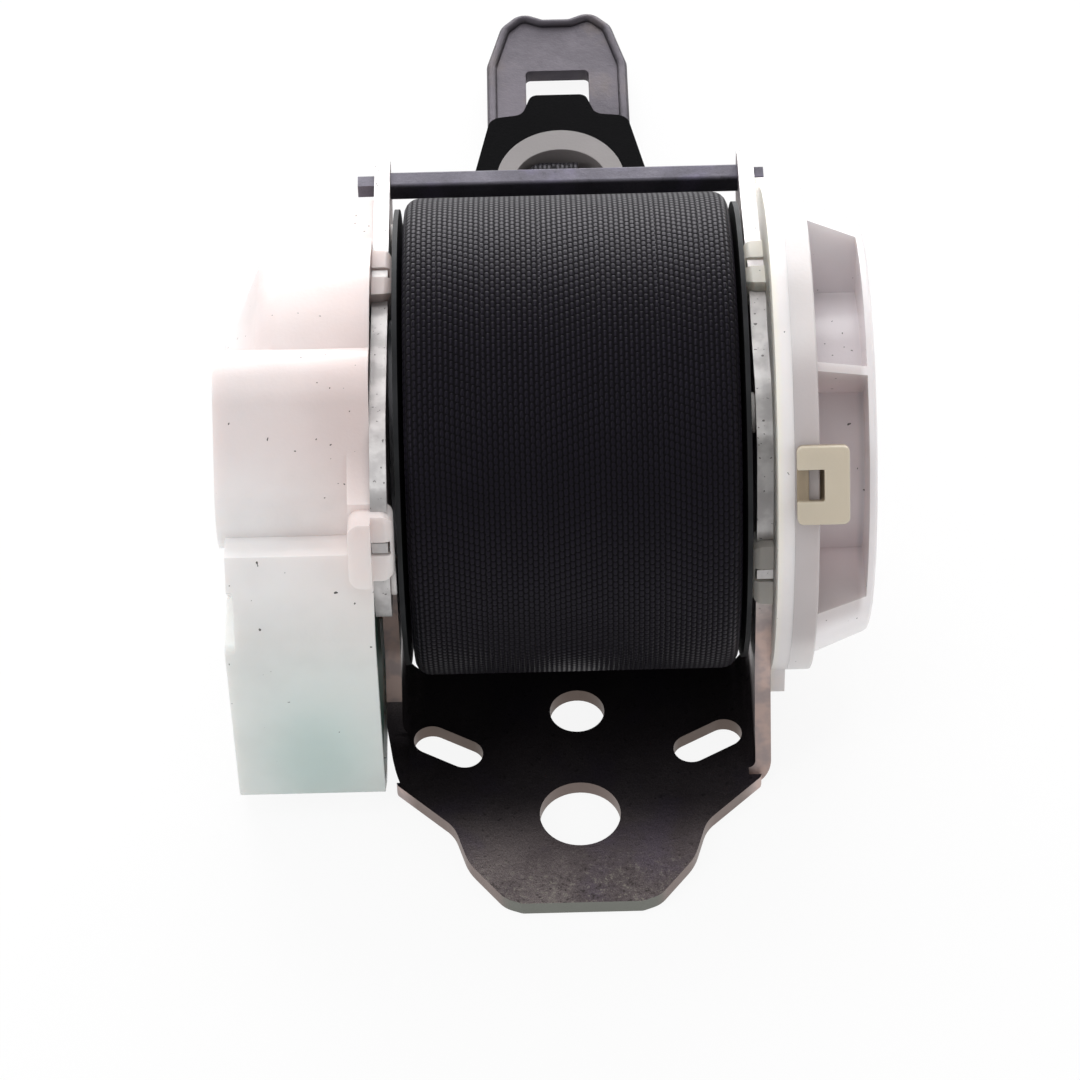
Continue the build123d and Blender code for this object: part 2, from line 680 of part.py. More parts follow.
def make_sensor_lever():
    """Lever that rests over the ball; its tooth rises into the lock gear."""
    low, top = lever_low_y, lever_low_y + lever_thick
    x0, x1 = case_outer_x + ear + side_gap, inner_ear_x - side_gap
    arm = outline([(low, lever_pivot_z - 1.8), (low, lever_top_z), (top, lever_top_z), (top, 9),
                   (lever_pivot_y + 2, lever_pivot_z + 1), (lever_pivot_y + 1, lever_pivot_z - 2)],
                  [0.6, 0.6, 0.6, 2, 1, 1])
    lever = prism(arm, side, x0, x1)
    finger_x = gear_in_x - side_gap
    bridge_z = lever_top_z - 4
    bridge = outline([(low, bridge_z), (low, lever_top_z), (top, lever_top_z), (top, bridge_z)], 0.6)
    lever += prism(bridge, side, x0, finger_x)
    finger = outline([(low, bridge_z), (low, lever_finger_z), (top, lever_finger_z), lever_tip,
                      (top, lever_finger_z - 4.4), (top, bridge_z)], [0.6, 0.6, 0, 0.2, 2, 0.6])
    lever += prism(finger, side, gear_out_x + side_gap / 4, finger_x)
    return lever + cylinder_x(lever_pin_r, case_outer_x + side_gap, inner_ear_x + ear - side_gap, *lever_pivot)


# Spring side: bush, base, cup, latch, arbor and spring

def make_spool_bush():
    bush = cylinder_x(bush_r - running, arm_in, arm_out) + cylinder_x(bush_flange_r, arm_out, arm_out + bush_flange)
    return bush - cylinder_x(journal_r + running, arm_in - 1, arm_out + bush_flange + 1)


def make_spring_base():
    base = cylinder_x(base_r, arm_out, base_x)
    base &= prism(behind_edge(right_arm_edge, 16.5), side, arm_out, base_x)
    base += cylinder_x(band_r, arm_out, base_x)
    base -= cylinder_x(base_hole_r, arm_out - 1, base_x + 1)
    base -= pin_holes(right_pins, arm_out - 1, base_x + 1)
    return base + [make_clip(place, 1, right_arm_face(), base_thick) for place in right_clips]


def cup_form(inset):
    """Tapered cup over the band, without its pocket."""
    end = cup_end_x - inset
    points = [(base_x, 0), (base_x, band_r - inset), (band_x - inset, band_r - inset),
              (band_x - inset, cup_r - inset), (end, cup_end_r - inset), (end, 0)]
    return turned(points, [0, 0, 0.3, 0, cup_end_round, 0])


def make_spring_cover():
    """Hollow cup round the spring chamber, with a recessed pocket and its rib."""
    form = cup_form(0)
    pocket = prism(sector(chamber_r, 2 * base_r, pocket_from, pocket_to), hub, band_x, pocket_end_x)
    room = sector(chamber_r - cup_wall / 2, 2 * base_r, pocket_from - pocket_wall_turn,
                  pocket_to + pocket_wall_turn)
    hollow = cup_form(cup_wall) - prism(room, hub, band_x - cup_wall, cup_end_x + 1)
    hollow += cylinder_x(chamber_r - cup_wall, base_x, cup_end_x - cup_wall)
    rib = Rot(0, 0, pocket_rib_angle) * Pos(chamber_r + cup_r / 2 - 1, 0) * Rectangle(cup_r, pocket_rib)
    return form - pocket - hollow + (prism(rib, hub, band_x - 0.5, cup_end_x - 0.5) & form)


def make_cover_latch():
    """Latch over the front of the cup's band, hooked behind it."""
    x0, x1 = latch_x
    face = RectangleRounded(latch_height, x1 - x0, 0.9)
    spot = hub((x0 + x1) / 2)
    out = Plane(origin=spot.origin, x_dir=(0, *polar(1, latch_turn + 90)), z_dir=(0, *polar(1, latch_turn)))
    latch = extrude(out.offset(band_r + running) * face, amount=latch_thick)
    hook_x = band_x + running + latch_thick / 2
    hook = Pos(0, hook_x - (x0 + x1) / 2) * Rectangle(latch_hook_height, latch_thick)
    latch += extrude(out.offset(cup_r - 4) * hook, amount=band_r - cup_r + 4 + latch_thick / 2)
    cut = Pos(0, (sum(latch_cut) - x0 - x1) / 2) * Rectangle(latch_cut_height, latch_cut[1] - latch_cut[0])
    latch -= extrude(out.offset(band_r - 1) * cut, amount=2 * latch_thick + 2)
    notch = Pos(0, (latch_cut[0] - x1) / 2) * Rectangle(latch_cut_height, latch_cut[0] - x0)
    return latch - extrude(out.offset(band_r + running + latch_thick - latch_notch) * notch, amount=latch_thick)


def make_spring_arbor():
    arbor = cylinder_x(arbor_r, arm_out + bush_flange + side_gap, base_x + spring_height + side_gap)
    bore = RectangleRounded(2 * arbor_bore, 2 * arbor_bore, 0.6)
    return arbor - prism(bore, hub, arm_out, cup_end_x)


def make_return_spring():
    """Flat spiral of strip steel between the arbor and the wall of the chamber."""
    steps = 24 * spring_turns
    rise = (spring_outer_r - spring_inner_r - spring_strip) / steps
    inner = [polar(spring_inner_r + rise * k, 15 * k) for k in range(steps + 1)]
    outer = [polar(spring_inner_r + spring_strip + rise * k, 15 * k) for k in range(steps + 1)]
    edges = [Spline(*inner), Spline(*outer), Line(inner[0], outer[0]), Line(inner[-1], outer[-1])]
    return prism(make_face(edges), hub, base_x + side_gap, base_x + side_gap + spring_height)


# Webbing between the roll and the tongue

def lead_path():
    """Centre line of the free webbing: off the roll, under the tie bar, down to the tongue."""
    r = roll_r + wound_gap + webbing_thick / 2
    on_roll = CenterArc((axis_y, axis_z), r, lead_to, lead_from - lead_to)
    leave = polar(r, lead_to)
    start = (axis_y + leave[0], axis_z + leave[1])
    fall = (start[1] - tongue_z) / math.cos(math.radians(lead_to))
    foot = (start[0] + fall * math.sin(math.radians(lead_to)), tongue_z)
    return on_roll + FilletPolyline(start, foot, (loop_tail_y - wound_gap, tongue_z), radius=lead_bend)


def make_webbing_lead():
    half_web = webbing_width / 2
    strap = prism(trace(lead_path(), webbing_thick), side, -half_web, half_web)
    left = loop_x - lead_end_width / 2
    plan = outline([(-lead_top_half, axis_y), (lead_top_half, axis_y), (lead_bar_half, bar_y + 3),
                    (left + lead_end_width, loop_tail_y - 8), (left + lead_end_width, loop_tail_y),
                    (left, loop_tail_y), (left, loop_tail_y - 8), (-lead_bar_half, bar_y + 3)])
    return strap & extrude(plan, amount=2 * arm_top_z)


def make_webbing_loop():
    """Sewn end: two layers, then loosely round the bar and up to the arch of the eye."""
    reach = liner_rise - liner_crown - loop_gap
    slack = reach - loop_outer_r
    bar = Pos(tongue_y, tongue_z)
    face = SlotCenterToCenter(slack, 2 * loop_outer_r)
    tail = (tongue_y - loop_tail_y, 2 * webbing_thick)
    face = bar * (Pos(slack / 2, 0) * face + Pos(-tail[0] / 2, 0) * Rectangle(*tail))
    face -= bar * Pos(slack / 2, 0) * SlotCenterToCenter(slack, 2 * loop_inner_r)
    loop = prism(face, side, loop_x - loop_width / 2, loop_x + loop_width / 2)
    swept = flat(tongue_z) * arch(liner_half - liner_band - loop_gap, reach)
    room = revolve(swept, axis=Axis((0, tongue_y, tongue_z), (1, 0, 0)))
    return loop & (room + box_between(-liner_half, liner_half, loop_tail_y - 1, tongue_y, 0, 3 * tongue_z))


# Tongue

def flat(z):
    return Plane(origin=(0, 0, z))


def arch(half, rise):
    """Upper half of an ellipse over the bar of the tongue."""
    ellipse = Pos(0, tongue_y) * Ellipse(half, rise)
    return ellipse & Pos(0, tongue_y + rise) * Rectangle(4 * half, 2 * rise)


def mirrored_outline(half, radii):
    points = half + [(-x, y) for x, y in reversed(half)]
    return outline(points, radii + radii[::-1])


def make_tongue_plate():
    rail_y = tongue_y - eye_bar_depth / 2
    half = [(tongue_shoulder, rail_y), (tongue_shoulder, 139), (tongue_half, 146),
            (tongue_half, tongue_tip_y - 13.6), (9.6, tongue_tip_y - 3.6), (6.3, tongue_tip_y),
            (2.6, tongue_tip_y - 1.8)]
    face = mirrored_outline(half, [1, 4, 4, 5, 3.5, 2.3, 1.8])
    eye = arch(liner_half, liner_rise) & Pos(0, rail_y + eye_bar_depth + liner_rise) * Rectangle(
        4 * liner_half, 2 * liner_rise)
    face -= eye
    face -= Pos(0, latch_window_y) * RectangleRounded(latch_window_width, latch_window_length, 0.9)
    return extrude(flat(tongue_z - tongue_thick / 2) * face, amount=tongue_thick)


def make_eye_liner():
    """Smooth liner of the webbing eye, with the round bar that the webbing turns on."""
    band = arch(liner_half - running, liner_rise - running)
    band -= arch(liner_half - liner_band, liner_rise - liner_crown)
    liner = extrude(flat(0) * band, amount=2 * tongue_z)
    length = liner_half - wound_gap
    liner += cylinder_x(eye_bar_r, -length, length, tongue_y, tongue_z)
    steel = Rectangle(eye_bar_depth + running, tongue_thick + running)
    return liner - prism(Pos(tongue_y, tongue_z) * steel, side, -liner_half - 1, liner_half + 1)


def make_tongue_grip():
    """Moulding round the eye and over the root of the steel plate."""
    half = [(grip_half, tongue_y), (11.6, 147.4), (6.2, 148.2), (4.6, grip_top_y)]
    face = mirrored_outline(half, [0, 2.5, 2, 1.5]) - arch(liner_half, liner_rise)
    grip = extrude(flat(tongue_z - grip_height / 2) * face, amount=grip_height)
    for sign in (-1, 1):
        grip += cylinder_x(grip_height / 2, sign * (liner_half + running), sign * grip_half, tongue_y, tongue_z)
    return grip - make_tongue_plate()


nodes = {
    "frame": make_frame, "tie_bar": make_tie_bar, "spool": make_spool,
    "torsion_bar": make_torsion_bar, "webbing_pin": make_webbing_pin,
    "webbing_roll": make_webbing_roll, "pawl_carrier": make_pawl_carrier,
    "lock_pawl": make_lock_pawl, "lock_gear": make_lock_gear,
    "inertia_lever": make_inertia_lever, "catch_ring": make_catch_ring,
    "lock_cover": make_lock_cover, "sensor_case": make_sensor_case,
    "sensor_ball": make_sensor_ball, "sensor_lever": make_sensor_lever,
    "spool_bush": make_spool_bush, "spring_base": make_spring_base,
    "spring_cover": make_spring_cover, "cover_latch": make_cover_latch,
    "spring_arbor": make_spring_arbor, "return_spring": make_return_spring,
    "webbing_lead": make_webbing_lead, "webbing_loop": make_webbing_loop,
    "tongue_plate": make_tongue_plate, "eye_liner": make_eye_liner,
    "tongue_grip": make_tongue_grip,
    "lock_cover_pins": lambda: make_pins(left_pins, -1, cover_flange),
    "spring_base_pins": lambda: make_pins(right_pins, 1, base_thick),
}

if __name__ == "__main__":
    os.makedirs("parts", exist_ok=True)
    for name, make in nodes.items():
        export_step(make(), f"parts/{name}.step")
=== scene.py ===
import json
import math
import bpy
from mathutils import Euler, Matrix, Vector

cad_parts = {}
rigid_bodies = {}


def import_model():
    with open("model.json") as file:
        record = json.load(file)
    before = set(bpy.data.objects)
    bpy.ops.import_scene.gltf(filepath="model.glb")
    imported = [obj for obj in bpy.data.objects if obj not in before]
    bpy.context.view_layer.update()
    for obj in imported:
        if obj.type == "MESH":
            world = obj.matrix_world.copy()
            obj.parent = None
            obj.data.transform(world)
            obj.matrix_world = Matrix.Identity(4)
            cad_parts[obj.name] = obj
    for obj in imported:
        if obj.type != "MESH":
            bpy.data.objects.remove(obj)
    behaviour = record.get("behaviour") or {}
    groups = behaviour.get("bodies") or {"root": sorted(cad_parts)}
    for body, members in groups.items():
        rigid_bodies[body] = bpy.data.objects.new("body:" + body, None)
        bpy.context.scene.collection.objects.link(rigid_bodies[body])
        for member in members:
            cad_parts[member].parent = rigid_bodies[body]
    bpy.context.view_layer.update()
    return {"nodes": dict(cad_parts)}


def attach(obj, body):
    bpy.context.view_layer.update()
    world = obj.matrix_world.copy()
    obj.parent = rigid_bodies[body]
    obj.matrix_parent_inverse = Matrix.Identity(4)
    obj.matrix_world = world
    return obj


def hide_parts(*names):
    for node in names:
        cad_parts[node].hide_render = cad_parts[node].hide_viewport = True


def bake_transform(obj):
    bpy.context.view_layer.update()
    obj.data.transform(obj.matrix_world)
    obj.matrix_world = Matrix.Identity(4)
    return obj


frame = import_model()
print("frame loaded")

# Seat belt retractor on its back plate. Metres; X along the spool, Y towards the tongue, Z up.
spool = {"y": 0.0432, "z": 0.0375, "rollR": 0.0349, "hubR": 0.0151, "half": 0.0235}
mergeWithin = 1e-6


def deselectAll():
    if bpy.context.object and bpy.context.object.mode != "OBJECT":
        bpy.ops.object.mode_set(mode="OBJECT")
    bpy.ops.object.select_all(action="DESELECT")


def pick(piece):
    deselectAll()
    piece.select_set(True)
    bpy.context.view_layer.objects.active = piece


def editMode(select="SELECT"):
    bpy.ops.object.mode_set(mode="EDIT")
    bpy.ops.mesh.select_all(action=select)


def objectMode():
    bpy.ops.object.mode_set(mode="OBJECT")


def applyAll(piece):
    pick(piece)
    for modifier in list(piece.modifiers):
        bpy.ops.object.modifier_apply(modifier=modifier.name)


def settle(piece, sharp):
    # its place goes into the mesh, and edges below sharp, in degrees, are smoothed
    pick(piece)
    bpy.ops.object.transform_apply(location=True, rotation=True, scale=True)
    bpy.ops.object.shade_smooth_by_angle(angle=math.radians(sharp))


def paint(piece, material):
    piece.data.materials.clear()
    piece.data.materials.append(material)


def smooth(t):
    return t * t * (3 - 2 * t)


dressing = {"flat": 2.0, "sharp": 34}  # degrees


def dressed(node, name, material, edge, segments=2):
    # a copy of a CAD node with its edges broken, which then stands for the node
    pick(frame["nodes"][node])
    bpy.ops.object.duplicate()
    piece = bpy.context.object
    bpy.ops.object.parent_clear(type="CLEAR_KEEP_TRANSFORM")
    for key in list(piece.keys()):
        del piece[key]
    piece.name = name
    piece.data.name = name
    bpy.ops.mesh.customdata_custom_splitnormals_clear()
    editMode()
    bpy.ops.mesh.remove_doubles(threshold=mergeWithin)
    bpy.ops.mesh.dissolve_limited(angle_limit=math.radians(dressing["flat"]))
    objectMode()
    bevel = piece.modifiers.new("brokenEdges", "BEVEL")
    bevel.width = edge
    bevel.segments = segments
    bevel.limit_method = "ANGLE"
    bevel.angle_limit = math.radians(dressing["sharp"])
    applyAll(piece)
    paint(piece, material)
    settle(piece, dressing["sharp"])
    flat = piece.modifiers.new("flatFaces", "WEIGHTED_NORMAL")
    flat.keep_sharp = True
    applyAll(piece)
    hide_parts(node)
    return piece


class Value:
    # wraps a socket, so that shader maths is written as an expression
    def __init__(self, finish, socket):
        self.finish, self.socket = finish, socket

    def math(self, operation, *others):
        return self.finish.node("Math", {"operation": operation}, dict(enumerate((self, *others))))

    def reflected(self, operation, other):
        return self.finish.node("Math", {"operation": operation}, {0: other, 1: self})

    def __add__(self, other):
        return self.math("ADD", other)

    def __radd__(self, other):
        return self.math("ADD", other)

    def __sub__(self, other):
        return self.math("SUBTRACT", other)

    def __rsub__(self, other):
        return self.reflected("SUBTRACT", other)

    def __mul__(self, other):
        return self.math("MULTIPLY", other)

    def __rmul__(self, other):
        return self.math("MULTIPLY", other)

    def __truediv__(self, other):
        return self.math("DIVIDE", other)

    def __rtruediv__(self, other):
        return self.reflected("DIVIDE", other)

    def __pow__(self, other):
        return self.math("POWER", other)

    def clamp(self):
        return self.math("MAXIMUM", 0.0).math("MINIMUM", 1.0)

    def step(self, low, high):
        # 0 below low, 1 above high, smooth between
        return self.finish.node("MapRange", {"interpolation_type": "SMOOTHSTEP"},
                                {"Value": self, "From Min": low, "From Max": high})


class Finish:
    # the nodes of a material, or of the world
    def __init__(self, name, kind="Material"):
        owners = bpy.data.worlds if kind == "World" else bpy.data.materials
        self.owner = owners.new(name)
        self.owner.use_nodes = True
        self.tree = self.owner.node_tree
        self.tree.nodes.clear()
        self.end = self.tree.nodes.new("ShaderNodeOutput" + kind)

    def node(self, kind, settings=None, values=None, output=0):
        made = self.tree.nodes.new("ShaderNode" + kind)
        for key, value in (settings or {}).items():
            if key == "stops":
                ramp = made.color_ramp
                while len(ramp.elements) < len(value):
                    ramp.elements.new(0.5)
                for element, (place, colour) in zip(ramp.elements, value):
                    element.position = place
                    element.color = (*colour, 1)
            else:
                setattr(made, key, value)
        for key, value in (values or {}).items():
            self.join(value, made.inputs[key])
        return Value(self, made.outputs[output])

    def join(self, value, socket):
        if isinstance(value, Value):
            self.tree.links.new(value.socket, socket)
        elif hasattr(value, "__len__") and len(value) == 3 and socket.type == "RGBA":
            socket.default_value = (*value, 1)
        else:
            socket.default_value = value

    def place(self):
        return self.node("TexCoord", output="Object")

    def axes(self, place):
        parts = self.node("SeparateXYZ", None, {0: place}).socket.node.outputs
        return [Value(self, part) for part in parts]

    def noise(self, place, scale, detail=3.0, rough=0.5):
        return self.node("TexNoise", None, {"Vector": place, "Scale": scale, "Detail": detail,
                                            "Roughness": rough})

    def ramp(self, value, stops):
        return self.node("ValToRGB", {"stops": stops}, {"Fac": value})

    def mix(self, factor, first, second, blend="MIX"):
        return self.node("Mix", {"data_type": "RGBA", "blend_type": blend},
                         {0: factor, 6: first, 7: second}, output=2)

    def bump(self, height, depth):
        return self.node("Bump", None, {"Height": height, "Distance": depth})

    def shade(self, **sockets):
        values = {name.replace("_", " "): value for name, value in sockets.items()}
        shader = self.node("BsdfPrincipled", None, values)
        self.join(shader, self.end.inputs["Surface"])
        return self.owner


zincLook = {
    "clouds": 55, "stains": 130, "pits": 900, "flecks": 2600, "grain": 5200, "bits": 1500,
    "grainColour": (0.45, 0.43, 0.42), "metal": 0.85, "rough": 0.34, "depth": 0.00008,
    "plateZ": (0.0026, 0.009), "shadeY": (-0.012, 0.004), "shade": (0.15, 0.15, 0.165),
    "wornY": (-0.0150, -0.0045), "pale": (0.46, 0.43, 0.37), "dark": (0.07, 0.06, 0.055),
}


def wornZinc(name, light, dark, tint, flecks=0.7, plate=None):
    # rolled sheet with worn zinc: cloudy, with dark pits and bright flecks; plate multiplies the
    # back plate darker as a painted reflection of the dark roll, with painted shade under the roll,
    # and it is worn at the tab
    look = zincLook
    f = Finish(name)
    place = f.place()
    clouds = f.noise(place, look["clouds"], 5, 0.6)
    pits = f.noise(place, look["pits"], 3, 0.65)
    bright = f.noise(place, look["flecks"], 2, 0.5)
    pitColour = tuple(0.3 * c for c in dark)
    brightColour = tuple(min(1, 1.6 * c) for c in light)
    colour = f.mix(clouds.step(0.38, 0.62), light, dark)
    colour = f.mix(f.noise(place, look["stains"], 3).step(0.5, 0.72) * 0.6, colour, tint)
    colour = f.mix(pits.step(0.58, 0.72) * flecks, colour, pitColour)
    colour = f.mix(bright.step(0.62, 0.78) * flecks * 0.6, colour, brightColour)
    grain = f.noise(place, look["grain"], 2, 0.6)
    colour = f.mix(grain.step(0.42, 0.60) * flecks * 0.7, colour, look["grainColour"], "MULTIPLY")
    if plate:
        _, y, z = f.axes(place)
        low = 1 - z.step(*look["plateZ"])
        # painted reflection: the back plate is multiplied darker, standing in for the dark roll it
        # mirrors
        colour = f.mix(low, colour, plate, "MULTIPLY")
        worn = low * (1 - y.step(*look["wornY"]))
        bits = f.noise(place, look["bits"], 4, 0.75)
        # painted shade: the back plate darkens further towards and under the roll
        colour = f.mix(low * y.step(*look["shadeY"]), colour, look["shade"], "MULTIPLY")
        colour = f.mix(worn * bits.step(0.53, 0.66) * 0.75, colour, look["pale"])
        colour = f.mix(worn * (1 - bits.step(0.34, 0.46)) * 0.8, colour, look["dark"])
    rough = look["rough"] + clouds * 0.16 + pits * 0.2
    height = pits * 0.7 + bright * 0.3
    return f.shade(Base_Color=colour, Metallic=look["metal"], Roughness=rough,
                   Normal=f.bump(height, look["depth"]))


cutLook = {
    "streaks": 260, "pits": 1500, "pitColour": (0.12, 0.11, 0.11), "depth": 0.00006,
    "bright": ((0.80, 0.78, 0.775), (0.62, 0.60, 0.60)),
    "leftX": (-0.01, 0.01), "left": (0.76, 0.76, 0.76),
    "topShadeZ": (0.057, 0.067), "top": (0.66, 0.61, 0.605),
    "stainedZ": (0.022, 0.034), "stained": ((0.54, 0.41, 0.37), (0.40, 0.33, 0.32)),
    "tabX": (0.0235, 0.0262), "tabZ": (0.0023, 0.0026), "tabEndY": (-0.0160, -0.0140),
    "tab": ((0.185, 0.19, 0.17), (0.235, 0.185, 0.170)),
    "shadeY": (-0.004, 0.016), "shade": (0.6, 0.58, 0.54),
}


def cutFinish():
    # sheared edge of the sheet: bright on the arms, stained brown low down, grey-brown round the
    # tab and in the holes; painted light keeps the right arm brighter than the left, painted shade
    # darkens the tops and the tab near the roll
    look = cutLook
    f = Finish("cutSteel")
    place = f.place()
    x, y, z = f.axes(place)
    streaks = f.noise(place, look["streaks"], 3, 0.55)
    pits = f.noise(place, look["pits"], 2, 0.5)
    bright = f.mix(streaks.step(0.40, 0.62), *look["bright"])
    bright = f.mix(pits.step(0.68, 0.72) * 0.8, bright, look["pitColour"])
    # painted light: the left arm's edges are multiplied darker than the right's, lifting the right
    # arm out of its shade
    bright = f.mix(1 - x.step(*look["leftX"]), bright, look["left"], "MULTIPLY")
    # painted shade: the arms' edges are darker at their tops, to hold back the light that falls
    # there
    bright = f.mix(z.step(*look["topShadeZ"]), bright, look["top"], "MULTIPLY")
    stained = f.mix(streaks.step(0.4, 0.6), *look["stained"])
    tab = (1 - z.step(*look["tabZ"])) * (1 - x.math("ABSOLUTE").step(*look["tabX"]))
    stained = f.mix(tab, stained, f.mix(y.step(*look["tabEndY"]), *look["tab"]))
    colour = f.mix(z.step(*look["stainedZ"]), stained, bright)
    # painted shade: the tab's edges darken towards and under the roll
    colour = f.mix(y.step(*look["shadeY"]) * tab, colour, look["shade"], "MULTIPLY")
    return f.shade(Base_Color=colour, Metallic=0.8, Roughness=0.36 + streaks * 0.2,
                   Normal=f.bump(streaks * 0.6 + pits * 0.4, look["depth"]))


resinLook = {"clouds": 70, "darker": 0.08, "scatter": 0.003, "spread": (1.0, 0.8, 0.7),
             "coatRough": 0.2}


def plastic(f, colour, rough, grain=1800, grainDepth=0.00002, milk=0.0, coat=0.0, shine=0.5):
    # slightly cloudy moulding; milk lets light spread inside it
    look = resinLook
    place = f.place()
    clouds = f.noise(place, look["clouds"], 3)
    made = f.mix(clouds.step(0.35, 0.7) * look["darker"], colour, (0.0, 0.0, 0.0))
    shader = dict(Base_Color=made, Roughness=rough + clouds * 0.1, Specular_IOR_Level=shine,
                  Normal=f.bump(f.noise(place, grain, 2), grainDepth))
    if milk:
        shader.update(Subsurface_Weight=milk, Subsurface_Scale=look["scatter"],
                      Subsurface_Radius=look["spread"])
    if coat:
        shader.update(Coat_Weight=coat, Coat_Roughness=look["coatRough"])
    return f.shade(**shader)


def moulded(name, colour, rough, **more):
    return plastic(Finish(name), colour, rough, **more)


speckLook = {"scale": 1500, "size": (0.855, 0.865), "amount": 0.9, "colour": (0.02, 0.015, 0.015)}


def specks(f, colour):
    # a few tiny dark specks, as old nylon has
    spot = f.noise(f.place(), speckLook["scale"], 1, 0.0)
    return f.mix(spot.step(*speckLook["size"]) * speckLook["amount"], colour, speckLook["colour"])


milkyLook = {
    "endX": (-0.049, -0.027), "end": (0.93, 0.895, 0.89), "nearArm": (0.86, 0.77, 0.75),
    "topShadeZ": (0.050, 0.062), "top": (0.86, 0.80, 0.795),
    "lowZ": (0.030, 0.052), "lowY": (0.024, 0.034), "low": (0.82, 0.835, 0.81),
    "glowX": (-0.0375, 0.0085), "glowZ": (0.013, 0.014), "glow": (0.62, 0.74, 0.71),
}


def milkyFinish():
    # whiter at the outer end, pinkish next to the arm, and faintly green over the sensor; painted
    # shade darkens the top
    look = milkyLook
    f = Finish("milkyCover")
    x, y, z = f.axes(f.place())
    colour = f.mix(x.step(*look["endX"]), look["end"], look["nearArm"])
    # painted shade: darker over the top, to hold back the lamps there
    colour = f.mix(z.step(*look["topShadeZ"]), colour, look["top"], "MULTIPLY")
    low = (1 - z.step(*look["lowZ"])) * (1 - y.step(*look["lowY"]))
    colour = f.mix(low * 0.8, colour, look["low"])
    middleX, spreadX = look["glowX"]
    middleZ, spreadZ = look["glowZ"]
    across, up = (x - middleX) / spreadX, (z - middleZ) / spreadZ
    glow = 1 / (1 + (across * across + up * up) ** 1.5)
    colour = f.mix(glow * low, colour, look["glow"])
    return plastic(f, specks(f, colour), 0.36, milk=0.4)


cupLook = {
    "pocketFrom": (60, 80), "frontFrom": (112, 124), "frontTo": (-170, -160),  # degrees, up from +Y
    "pocketR": (0.0218, 0.0315), "pocketX": (0.0338, 0.0345), "rimX": (0.0410, 0.0418),
    "endX": (0.0402, 0.0412), "bandX": (0.0300, 0.0310), "bandEndX": (0.0340, 0.0342),
    # each second colour is painted light and shade on the side that faces the front
    "wall": ((0.90, 0.85, 0.86), (0.66, 0.60, 0.60)),
    "band": ((0.70, 0.655, 0.65), (0.54, 0.49, 0.49)),
    "pocket": ((0.76, 0.70, 0.72), (0.95, 0.83, 0.84)),
}


def cupFinish():
    # the wall, the band next to the base and the pocket, where the spring shows through, have a
    # pair of colours each, and the second is for the side that faces the front: painted shade on
    # the wall and band, painted light in the pocket
    look = cupLook
    f = Finish("cupPlastic")
    x, y, z = f.axes(f.place())
    fromAxis, up = y - spool["y"], z - spool["z"]
    radius = (fromAxis * fromAxis + up * up) ** 0.5
    angle = up.math("ARCTAN2", fromAxis) * (180 / math.pi)
    inside = (1 - radius.step(*look["pocketR"])) * x.step(*look["pocketX"])
    inside = inside * (1 - x.step(*look["rimX"])) * angle.math("ABSOLUTE").step(*look["pocketFrom"])
    # painted light and shade: the side facing the front, which the light from behind doesn't reach
    frontPaintedLight = angle.step(*look["frontFrom"]) + 1 - angle.step(*look["frontTo"])
    frontPaintedLight = (frontPaintedLight * (1 - x.step(*look["endX"]))).clamp()
    band = x.step(*look["bandX"]) * (1 - x.step(*look["bandEndX"]))
    colour = f.mix(frontPaintedLight, *look["wall"])
    colour = f.mix(band, colour, f.mix(frontPaintedLight, *look["band"]))
    colour = f.mix(inside, colour, f.mix(frontPaintedLight, *look["pocket"]))
    return plastic(f, specks(f, colour), 0.28, milk=0.25, coat=0.3)


nylonLook = {
    "nearX": (0.0284, 0.0294), "plain": (0.92, 0.86, 0.85), "nearArm": (0.98, 0.92, 0.80),
    "lowZ": (0.030, 0.060), "low": (0.74, 0.70, 0.70),
}


def nylonFinish():
    # yellower next to the arm, and painted lighter there to lift the shade on the clips; greyer low
    # down
    look = nylonLook
    f = Finish("nylonBase")
    x, _, z = f.axes(f.place())
    # painted light: next to the arm the colour is brighter as well as yellower, lifting the shade
    # on the clips
    colour = f.mix((1 - x.step(*look["nearX"])) * 0.8, look["plain"], look["nearArm"])
    colour = f.mix((1 - z.step(*look["lowZ"])) * 0.4, colour, look["low"])
    return plastic(f, specks(f, colour), 0.36, milk=0.35)


latchLook = {"faceR": (0.0363, 0.0370), "shadedSides": (0.28, 0.22, 0.15), "face": (0.60, 0.53, 0.42)}


def latchFinish():
    # ivory, with painted shade in the notch and on the sides below its face
    look = latchLook
    f = Finish("ivoryLatch")
    _, y, z = f.axes(f.place())
    fromAxis, up = y - spool["y"], z - spool["z"]
    face = ((fromAxis * fromAxis + up * up) ** 0.5).step(*look["faceR"])
    # painted shade: the notch and the sides are much darker than the face
    return plastic(f, f.mix(face, look["shadedSides"], look["face"]), 0.40, milk=0.15)


castLook = {"clouds": 120, "grain": 1500, "depth": 0.00003, "darker": 0.7}


def castMetal(name, colour, rough, metal=0.9):
    look = castLook
    f = Finish(name)
    place = f.place()
    clouds = f.noise(place, look["clouds"], 4)
    made = f.mix(clouds.step(0.3, 0.7), colour, tuple(c * look["darker"] for c in colour))
    return f.shade(Base_Color=made, Metallic=metal, Roughness=rough + clouds * 0.15,
                   Normal=f.bump(f.noise(place, look["grain"], 3), look["depth"]))


weave = {
    "column": 0.00074, "row": 0.00114, "depth": 0.00022,  # pitch across and along, and relief
    "slim": 2.5, "short": 2.05,  # how far a float stays inside its column and row
    "panels": (0.0040, 0.01235, 0.0187), "shifts": (0.28, 0.5, -0.28, 0.5), "seam": 1e-5,
    "drift": 260, "threads": 5200, "dullAt": (0.018, 0.030),
    # painted shade: the gaps between floats are far darker than the float tops
    "floatsAndShadedGaps": [(0.0, (0.0002, 0.0002, 0.0003)), (0.45, (0.0012, 0.0010, 0.0017)),
                (1.0, (0.0050, 0.0042, 0.0080))],
}


